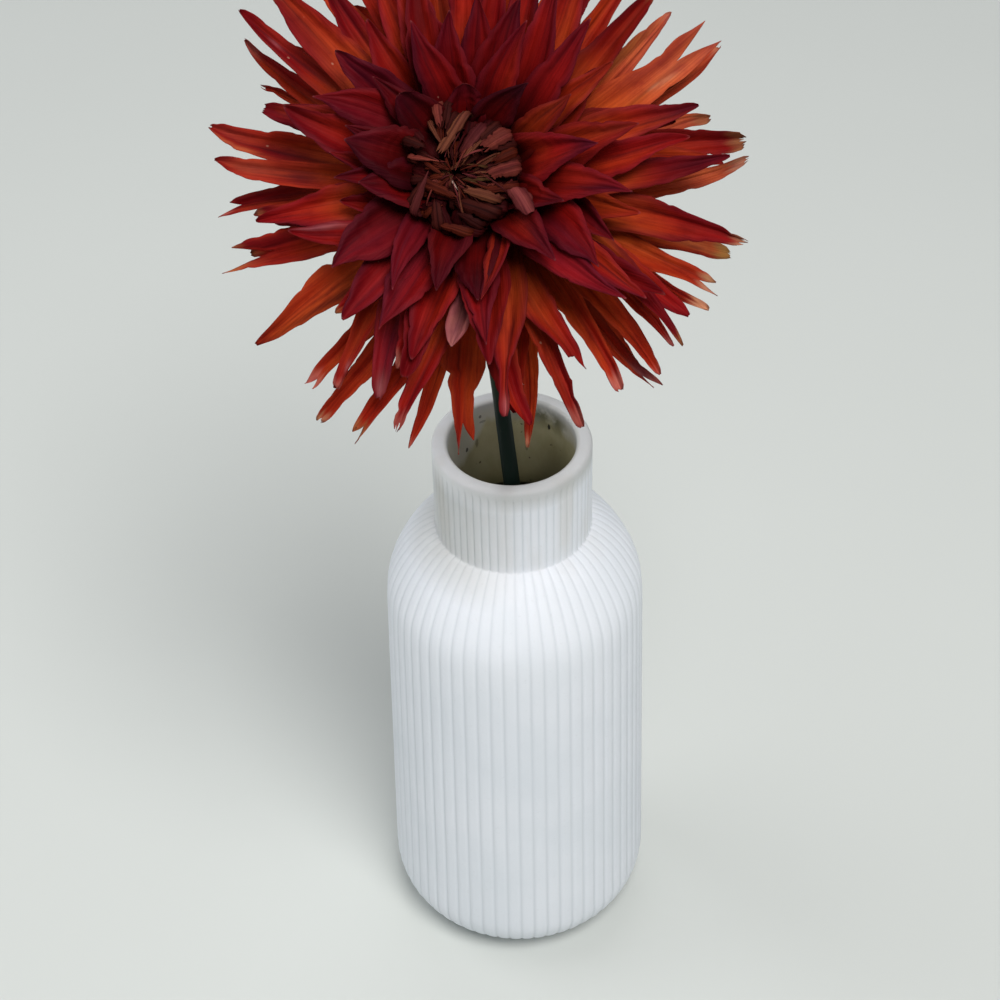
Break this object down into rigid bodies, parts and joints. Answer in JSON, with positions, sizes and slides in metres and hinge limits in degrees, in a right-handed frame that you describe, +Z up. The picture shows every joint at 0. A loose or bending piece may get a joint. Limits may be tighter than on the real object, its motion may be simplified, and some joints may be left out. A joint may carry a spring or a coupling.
{
  "type": "dahlia flower in a vase",
  "caption": "One cut semi-cactus dahlia, rust red with a dark folded eye and long pointed petals, leaning in a white ribbed ceramic bottle vase.",
  "frame": {"origin": "middle of the vase's flat foot, on the surface it stands on", "axes": "+Z up along the vase; the flower faces -Y and up, +X is to its right"},
  "size_m": [0.1435, 0.1322, 0.3803],
  "materials": {
    "ceramic": "matt white glaze over fine ribs",
    "stem": "smooth dark green stem",
    "inner_florets": "soft satin, deep wine red",
    "middle_florets": "soft satin, red with fine veins",
    "outer_florets": "soft satin, orange red with tan tips",
    "eye": "matt, dusty rose and brown",
    "inner_bracts": "thin, dry, translucent",
    "outer_bracts": "leafy green"
  },
  "bodies": {
    "root": {"vase": "ceramic", "stem": "stem", "ray_florets_row_01": "inner_florets", "ray_florets_row_02": "inner_florets", "ray_florets_row_03": "inner_florets", "ray_florets_row_04": "inner_florets", "ray_florets_row_05": "middle_florets", "ray_florets_row_06": "middle_florets", "ray_florets_row_07": "middle_florets", "ray_florets_row_08": "middle_florets", "ray_florets_row_09": "outer_florets", "ray_florets_row_10": "outer_florets", "ray_florets_row_11": "outer_florets", "ray_florets_row_12": "outer_florets", "centre_florets_row_1": "eye", "centre_florets_row_2": "eye", "centre_florets_row_3": "eye", "inner_bracts": "inner_bracts", "outer_bract_1": "outer_bracts", "outer_bract_2": "outer_bracts", "outer_bract_3": "outer_bracts", "outer_bract_4": "outer_bracts", "outer_bract_5": "outer_bracts"}
  },
  "joints": []
}
